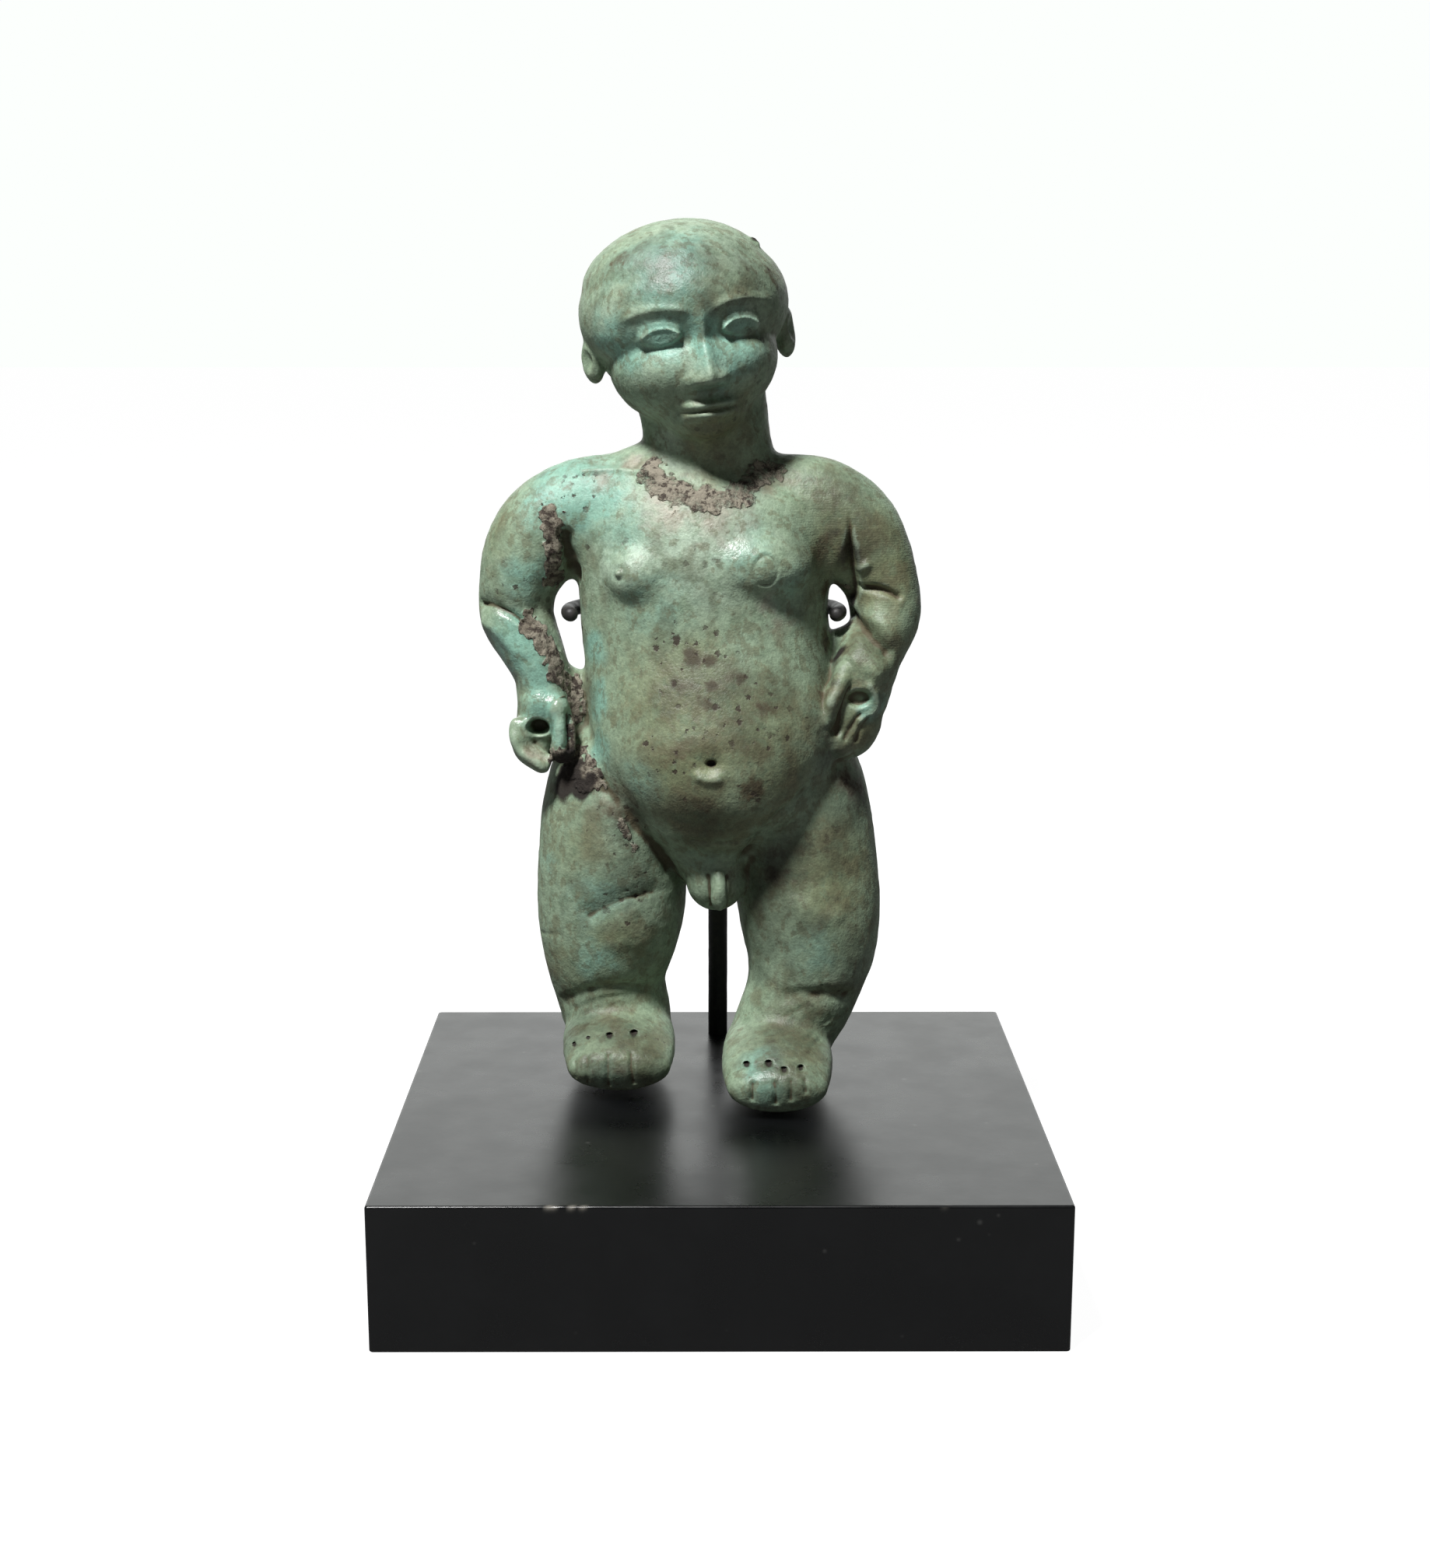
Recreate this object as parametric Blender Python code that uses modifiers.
"""Standing dwarf-god figure of glazed faience on its display stand, in metres, +Z up.

The origin is the centre of the block's underside, and the figure looks towards -Y.
Three pieces: the moulded figure, the bent rod that carries it and the block that the rod stands in.
"""

import math

import bmesh
import bpy
import numpy as np
from mathutils import Matrix, Vector

# Driving dimensions
FIGURE_HEIGHT = 0.0775
BLOCK_WIDTH = 0.05715
BLOCK_DEPTH = 0.0508
BLOCK_HEIGHT = 0.0127
ROD_DIAMETER = 0.0019
PRONG_DIAMETER = 0.0014
ROD_SETBACK = 0.0067  # from the block's back edge to the rod's axis
ROD_SOCKET_DEPTH = 0.009
DRILL_ABOVE_BLOCK = 0.004
ROD_ABOVE_CRADLE = 0.0022
BRAZE_OVERLAP = 0.00045  # how far the upright sinks into the cradle wire
CRADLE_SPREAD = math.radians(103)  # from the middle of the back to each tip, round the waist
FIT_GAP = 0.0003
SOLE_GAP = 0.0005  # the feet hang just clear of the block

# The figure's own sizes below are in thousandths of its height. x runs to the viewer's right,
# y to the back from the body's axis, and z up from the soles.
UNIT = FIGURE_HEIGHT / 1000

# Each station of a loft: x, y, z of its middle, half width, half depth.
TORSO = (
    (-8, -25, 226, 24, 42),
    (-8, -26, 256, 46, 62),
    (-8, -26, 288, 72, 74),
    (-7, -27, 309, 92, 94),
    (-5, -26, 330, 113, 113),
    (-3, -24, 352, 130, 126),
    (-2, -20, 380, 143, 132),
    (-2, -17, 412, 148, 131),
    (-7, -12, 452, 147, 121),
    (-13, -4, 505, 145, 108),
    (-17, 0, 555, 146, 102),
    (-18, 0, 605, 148, 101),
    (-20, 2, 650, 154, 93),
    (-20, 8, 690, 148, 76),
    (-17, 12, 718, 116, 60),
    (-14, 14, 738, 80, 48),
)
WAIST = TORSO[10]  # the station that the cradle goes round
NECK = (
    (-14, 16, 690, 92, 60),
    (-13, 12, 735, 79, 60),
    (-15, 8, 770, 74, 62),
    (-22, 14, 815, 76, 66),
)
LEFT_ARM = (
    (-60, 12, 690, 40, 38),
    (-105, 10, 686, 52, 48),
    (-152, 8, 676, 60, 54),
    (-196, 8, 651, 62, 56),
    (-223, 8, 618, 55, 54),
    (-236, 8, 580, 46, 50),
    (-236, 4, 548, 44, 46),
    (-222, -6, 518, 39, 42),
    (-209, -14, 486, 34, 38),
    (-205, -18, 452, 31, 35),
    (-205, -20, 425, 33, 34),
)
RIGHT_ARM = (
    (42, 12, 692, 40, 38),
    (85, 10, 688, 52, 48),
    (122, 8, 675, 58, 54),
    (156, 6, 648, 58, 56),
    (181, 4, 612, 50, 54),
    (197, 0, 575, 41, 50),
    (197, -10, 545, 39, 48),
    (183, -24, 515, 36, 42),
    (168, -34, 485, 38, 40),
    (159, -40, 455, 38, 37),
)
LEFT_LEG = (
    (-92, 10, 395, 78, 78),
    (-110, 10, 350, 90, 88),
    (-124, 8, 305, 89, 88),
    (-130, 4, 258, 87, 84),
    (-128, 0, 212, 90, 78),
    (-132, 0, 165, 85, 72),
    (-134, 4, 126, 76, 66),
    (-132, 6, 96, 68, 60),
    (-124, 4, 66, 66, 58),
    (-120, 2, 40, 62, 54),
)
RIGHT_LEG = (
    (68, 8, 395, 78, 78),
    (84, 4, 350, 88, 88),
    (96, -2, 305, 88, 88),
    (103, -11, 255, 88, 84),
    (109, -22, 205, 86, 78),
    (110, -33, 158, 80, 72),
    (104, -40, 122, 71, 66),
    (96, -44, 96, 66, 60),
    (82, -48, 66, 62, 58),
    (72, -50, 40, 60, 54),
)
# Feet run from heel to toe, with half heights in place of half depths.
LEFT_FOOT = (
    (-118, 62, 38, 44, 34),
    (-120, 20, 44, 60, 42),
    (-120, -25, 46, 66, 43),
    (-118, -74, 40, 67, 36),
    (-117, -122, 31, 60, 27),
)
RIGHT_FOOT = (
    (76, 22, 34, 44, 34),
    (73, -25, 40, 58, 42),
    (70, -75, 42, 64, 44),
    (68, -134, 36, 64, 38),
    (67, -180, 26, 57, 28),
)
FINGERS = (
    ((-228, -42, 428, 13, 14), (-228, -48, 400, 13, 14), (-204, -48, 382, 14, 13)),
    ((-186, -42, 445, 14, 14), (-180, -50, 418, 14, 14), (-181, -50, 392, 12, 12)),
    ((146, -62, 494, 12, 12), (132, -72, 462, 12, 13), (120, -72, 430, 11, 12)),
)

# Rounded masses: middle x, y, z, then half sizes.
MASSES = (
    ((-166, 6, 640), (34, 44, 46)),  # armpits
    ((132, 4, 640), (34, 44, 50)),
    ((-74, 46, 352), (84, 62, 84)),  # buttocks
    ((58, 42, 354), (84, 62, 84)),
    ((-176, 2, 432), (34, 28, 60)),  # webs between the arms and the sides
    ((128, -20, 455), (26, 34, 44)),
    ((-90, -64, 606), (42, 40, 36)),  # breasts
    ((36, -64, 616), (74, 44, 42)),
    ((-104, -96, 606), (8, 10, 8)),  # nipples
    ((58, -100, 606), (14, 8, 18)),
    ((-207, -10, 415), (34, 34, 38)),  # palms
    ((150, -42, 440), (42, 34, 54)),
    ((136, -58, 412), (24, 24, 22)),
    ((178, 10, 565), (26, 28, 50)),  # inner side of the right arm
    ((150, 2, 514), (24, 30, 24)),
    ((-3, -60, 246), (36, 32, 38)),  # genitals
    ((1, -88, 240), (12, 17, 27)),
)

# The head is set out upright and square about its own middle, then turned and tilted.
HEAD_MIDDLE = Vector((-35, 2, 874))
HEAD_TILT = math.radians(8)
HEAD_TURN = math.radians(9)
HEAD_MASSES = (
    ((0, 4, 30), (121, 122, 86)),  # crown
    ((-4, 6, 57), (109, 108, 72)),
    ((0, 26, 8), (106, 100, 88)),  # back of the skull
    ((0, -18, -28), (99, 95, 77)),  # middle of the face
    ((0, -32, -70), (60, 68, 52)),  # jaw
    ((-114, 14, -16), (13, 20, 30)),  # ears
    ((114, 14, -12), (13, 20, 32)),
    ((0, -108, -16), (11, 18, 34)),  # bridge of the nose
    ((0, -116, -48), (21, 20, 13)),  # tip of the nose
    ((-46, -96, 24), (32, 12, 7)),  # brows
    ((46, -96, 24), (32, 12, 7)),
    ((-46, -88, 2), (21, 14, 11)),  # eyes
    ((46, -88, 2), (21, 14, 11)),
    ((-54, -66, -42), (32, 28, 26)),  # cheeks
    ((54, -66, -42), (32, 28, 26)),
    ((0, -94, -78), (31, 14, 7)),  # lips
    ((0, -91, -91), (25, 14, 7)),
    ((0, -76, -108), (25, 18, 13)),  # chin
)
# Hollows pressed into the head: middle, radius, depth.
HEAD_DENTS = (
    ((-27, -108, 10), 20, 7),
    ((27, -108, 10), 20, 7),
    ((-66, -96, 8), 18, 4),
    ((66, -96, 8), 18, 4),
)
# Hollows in the body.
BODY_DENTS = (
    ((-10, -150, 390), 15, 12),  # navel
    ((-212, -60, 424), 15, 26),  # the fists' bores
    ((163, -74, 466), 16, 14),
)

# Toes: where the grooves between them fall, in shares of the foot's half width.
TOE_GROOVES = (-0.5, -0.14, 0.2, 0.52)
TOE_GROOVE_HALF_WIDTH = 7
TOE_GROOVE_DEPTH = 9
TOE_GROOVE_TOP = 46
TOE_GROOVE_LENGTH = 20  # back from the last station of the foot

RING_SIDES = 32
RINGS_BETWEEN = 4
CAP_BULGE = 0.45  # a loft's rounded end, in shares of the last ring's smaller half size
CAP_WIDTH = 0.6
VOXEL = 0.00045
SMOOTHING_ROUNDS = 7
FIGURE_TRIANGLES = 8400

FIGURE_GLAZE = ((0.20, 0.32, 0.25, 1), 0.35, 0.0)
BLACK_METAL = ((0.008, 0.008, 0.010, 1), 0.45, 0.6)
BLACK_LACQUER = ((0.010, 0.011, 0.012, 1), 0.38, 0.0)


def clear_scene():
    for thing in list(bpy.data.objects):
        bpy.data.objects.remove(thing, do_unlink=True)


def material(name, finish):
    colour, roughness, metallic = finish
    made = bpy.data.materials.new(name)
    made.use_nodes = True
    shader = made.node_tree.nodes["Principled BSDF"]
    shader.inputs["Base Color"].default_value = colour
    shader.inputs["Roughness"].default_value = roughness
    shader.inputs["Metallic"].default_value = metallic
    return made


def add_object(name, data, collection, finish=None):
    thing = bpy.data.objects.new(name, data)
    collection.objects.link(thing)
    if finish:
        thing.data.materials.append(material(name, finish))
    return thing


def smooth_stations(stations):
    """Rows on a Catmull-Rom curve through the stations, which also passes through both ends."""
    rows = np.array(stations, float)
    padded = np.vstack([2 * rows[0] - rows[1], rows, 2 * rows[-1] - rows[-2]])
    found = []
    for k in range(len(rows) - 1):
        before, start, end, after = padded[k : k + 4]
        for t in np.arange(RINGS_BETWEEN) / RINGS_BETWEEN:
            found.append(
                0.5
                * (
                    2 * start
                    + (end - before) * t
                    + (2 * before - 5 * start + 4 * end - after) * t**2
                    + (3 * start - before - 3 * end + after) * t**3
                )
            )
    found.append(rows[-1])
    return np.array(found)


def add_loft(bm, stations, depth_axis):
    """Elliptical rings along a path, closed at each end by a rounded cap."""
    rows = smooth_stations(stations)
    along = np.gradient(rows[:, :3], axis=0)
    rings = []
    for row, direction in zip(rows, along):
        tangent = Vector(direction).normalized()
        wide = Vector(depth_axis).cross(tangent).normalized()
        deep = tangent.cross(wide).normalized()
        rings.append((Vector(row[:3]), wide * row[3], deep * row[4], tangent))
    for end, sign in ((0, -1), (-1, 1)):
        middle, wide, deep, tangent = rings[end]
        bulge = CAP_BULGE * min(wide.length, deep.length)
        cap = (middle + tangent * sign * bulge, wide * CAP_WIDTH, deep * CAP_WIDTH, tangent)
        rings.insert(0 if end == 0 else len(rings), cap)
    turns = [2 * math.pi * k / RING_SIDES for k in range(RING_SIDES)]
    loops = [
        [bm.verts.new(middle + wide * math.cos(a) + deep * math.sin(a)) for a in turns]
        for middle, wide, deep, tangent in rings
    ]
    for lower, upper in zip(loops, loops[1:]):
        for k in range(RING_SIDES):
            after = (k + 1) % RING_SIDES
            bm.faces.new((lower[k], lower[after], upper[after], upper[k]))
    bm.faces.new(loops[0][::-1])
    bm.faces.new(loops[-1])


def add_mass(bm, middle, half_sizes, turn=Matrix.Identity(4)):
    place = turn @ Matrix.Translation(middle) @ Matrix.Diagonal((*half_sizes, 1))
    bmesh.ops.create_uvsphere(bm, u_segments=24, v_segments=14, radius=1, matrix=place)


def head_frame():
    turn = Matrix.Rotation(-HEAD_TILT, 4, "Y") @ Matrix.Rotation(HEAD_TURN, 4, "Z")
    return Matrix.Translation(HEAD_MIDDLE) @ turn


def figure_axis_y():
    """The body's axis, set so that its back meets the cradle with the fitting gap."""
    rod_y = BLOCK_DEPTH / 2 - ROD_SETBACK
    wire_front = rod_y - ROD_DIAMETER / 2 + BRAZE_OVERLAP - PRONG_DIAMETER
    y, half_depth = WAIST[1], WAIST[4]
    return wire_front - FIT_GAP - (y + half_depth) * UNIT


def figure_frame():
    """From thousandths of the figure's height to the object's frame."""
    place = Matrix.Translation((0, figure_axis_y(), BLOCK_HEIGHT + SOLE_GAP))
    return place @ Matrix.Scale(UNIT, 4)


def press(points, middle, radius, depth):
    """Moves the points near the middle straight back, with a soft edge, as a thumb presses clay."""
    reach = np.linalg.norm(points - np.array(middle), axis=1) / radius
    points[:, 1] += depth * np.clip(1 - reach**2, 0, 1) ** 1.5


def groove_toes(points, foot):
    """Cuts the grooves that part the toes down the front of a foot."""
    x, y, _, half_width, _ = foot[-1]
    front = (points[:, 1] < y + TOE_GROOVE_LENGTH) & (points[:, 2] < TOE_GROOVE_TOP)
    front &= abs(points[:, 0] - x) < half_width
    for share in TOE_GROOVES:
        off = abs(points[:, 0] - x - share * half_width) / TOE_GROOVE_HALF_WIDTH
        fade = np.clip(1.6 - 1.6 * points[:, 2] / TOE_GROOVE_TOP, 0, 1)
        points[:, 1] += front * TOE_GROOVE_DEPTH * fade * np.clip(1 - off, 0, 1)


def make_figure(collection):
    bm = bmesh.new()
    upright = (0, 1, 0)
    for stations in (TORSO, NECK, LEFT_ARM, RIGHT_ARM, LEFT_LEG, RIGHT_LEG):
        add_loft(bm, stations, upright)
    for stations in (LEFT_FOOT, RIGHT_FOOT):
        add_loft(bm, stations, (0, 0, 1))
    for stations in FINGERS:
        add_loft(bm, stations, upright)
    for middle, half_sizes in MASSES:
        add_mass(bm, middle, half_sizes)
    for middle, half_sizes in HEAD_MASSES:
        add_mass(bm, middle, half_sizes, head_frame())
    bmesh.ops.recalc_face_normals(bm, faces=bm.faces)
    mesh = bpy.data.meshes.new("pataikos_figure")
    bm.to_mesh(mesh)
    bm.free()
    mesh.transform(Matrix.Scale(UNIT, 4))

    rough = add_object("pataikos_figure", mesh, collection)
    remesh = rough.modifiers.new("Fuse", "REMESH")
    remesh.mode = "VOXEL"
    remesh.voxel_size = VOXEL
    smooth = rough.modifiers.new("Soften", "SMOOTH")
    smooth.factor = 0.5
    smooth.iterations = SMOOTHING_ROUNDS
    fused = evaluated_mesh(rough)
    bpy.data.objects.remove(rough, do_unlink=True)

    points = np.empty(len(fused.vertices) * 3)
    fused.vertices.foreach_get("co", points)
    points = points.reshape(-1, 3) / UNIT
    for middle, radius, depth in BODY_DENTS:
        press(points, middle, radius, depth)
    for middle, radius, depth in HEAD_DENTS:
        press(points, head_frame() @ Vector(middle), radius, depth)
    for foot in (LEFT_FOOT, RIGHT_FOOT):
        groove_toes(points, foot)
    points[:, 2] = np.maximum(points[:, 2], 0)
    fused.vertices.foreach_set("co", (points * UNIT).ravel())
    fused.update()

    figure = add_object("pataikos_figure", fused, collection, FIGURE_GLAZE)
    figure.matrix_world = Matrix.Translation((0, figure_axis_y(), BLOCK_HEIGHT + SOLE_GAP))
    lighten = figure.modifiers.new("Lighten", "DECIMATE")
    lighten.ratio = FIGURE_TRIANGLES / (2 * len(fused.polygons))
    return figure


def evaluated_mesh(thing):
    bpy.context.view_layer.update()
    graph = bpy.context.evaluated_depsgraph_get()
    return bpy.data.meshes.new_from_object(thing.evaluated_get(graph))


def add_wire(name, points, diameter, collection):
    curve = bpy.data.curves.new(name, "CURVE")
    curve.dimensions = "3D"
    curve.bevel_depth = diameter / 2
    curve.bevel_resolution = 3
    curve.use_fill_caps = True
    spline = curve.splines.new("POLY")
    spline.points.add(len(points) - 1)
    for point, place in zip(spline.points, points):
        point.co = (*place, 1)
    wire = add_object(name, curve, collection)
    mesh = evaluated_mesh(wire)
    bpy.data.objects.remove(wire, do_unlink=True)
    bm = bmesh.new()
    bm.from_mesh(mesh)
    bmesh.ops.remove_doubles(bm, verts=bm.verts, dist=1e-6)
    bmesh.ops.recalc_face_normals(bm, faces=bm.faces)
    bm.to_mesh(mesh)
    bm.free()
    return add_object(name, mesh, collection)


def cradle_path():
    """Round the waist at a fitting gap, from one tip past the middle of the back to the other."""
    x, y, z, half_width, half_depth = WAIST
    reach = PRONG_DIAMETER / 2 + FIT_GAP
    frame = figure_frame()
    middle = frame @ Vector((x, y, z))
    wide, deep = half_width * UNIT + reach, half_depth * UNIT + reach
    turns = np.linspace(-CRADLE_SPREAD, CRADLE_SPREAD, 33)
    return [
        (middle.x + wide * math.sin(a), middle.y + deep * math.cos(a), middle.z) for a in turns
    ]


def make_rod(collection, helpers):
    rod_y = BLOCK_DEPTH / 2 - ROD_SETBACK
    foot = BLOCK_HEIGHT - ROD_SOCKET_DEPTH + FIT_GAP
    path = cradle_path()
    top = path[0][2] + ROD_ABOVE_CRADLE
    upright = add_wire("display_rod", ((0, rod_y, foot), (0, rod_y, top)), ROD_DIAMETER, collection)
    cradle = add_wire("cradle_wire", path, PRONG_DIAMETER, helpers)
    cradle.hide_render = True
    cradle.display_type = "WIRE"
    braze = upright.modifiers.new("Braze", "BOOLEAN")
    braze.operation = "UNION"
    braze.solver = "EXACT"
    braze.object = cradle
    upright.data.materials.append(material("display_rod", BLACK_METAL))
    return upright


def make_block(collection, helpers):
    bpy.ops.mesh.primitive_cube_add(size=1, location=(0, 0, BLOCK_HEIGHT / 2))
    block = bpy.context.object
    block.name = "base_block"
    block.scale = (BLOCK_WIDTH, BLOCK_DEPTH, BLOCK_HEIGHT)
    bpy.ops.object.transform_apply(location=False, rotation=False, scale=True)
    for owner in list(block.users_collection):
        owner.objects.unlink(block)
    collection.objects.link(block)
    block.data.materials.append(material("base_block", BLACK_LACQUER))

    drill_length = ROD_SOCKET_DEPTH + DRILL_ABOVE_BLOCK
    bpy.ops.mesh.primitive_cylinder_add(
        vertices=24,
        radius=ROD_DIAMETER / 2 + FIT_GAP,
        depth=drill_length,
        location=(
            0,
            BLOCK_DEPTH / 2 - ROD_SETBACK,
            BLOCK_HEIGHT - ROD_SOCKET_DEPTH + drill_length / 2,
        ),
    )
    drill = bpy.context.object
    drill.name = "socket_drill"
    drill.hide_render = True
    drill.display_type = "WIRE"
    for owner in list(drill.users_collection):
        owner.objects.unlink(drill)
    helpers.objects.link(drill)
    socket = block.modifiers.new("Rod socket", "BOOLEAN")
    socket.operation = "DIFFERENCE"
    socket.solver = "EXACT"
    socket.object = drill
    return block


def main():
    clear_scene()
    parts = bpy.data.collections.new("pataikos_figure_on_stand")
    helpers = bpy.data.collections.new("cutters")
    for collection in (parts, helpers):
        bpy.context.scene.collection.children.link(collection)
    make_block(parts, helpers)
    make_rod(parts, helpers)
    make_figure(parts)


main()
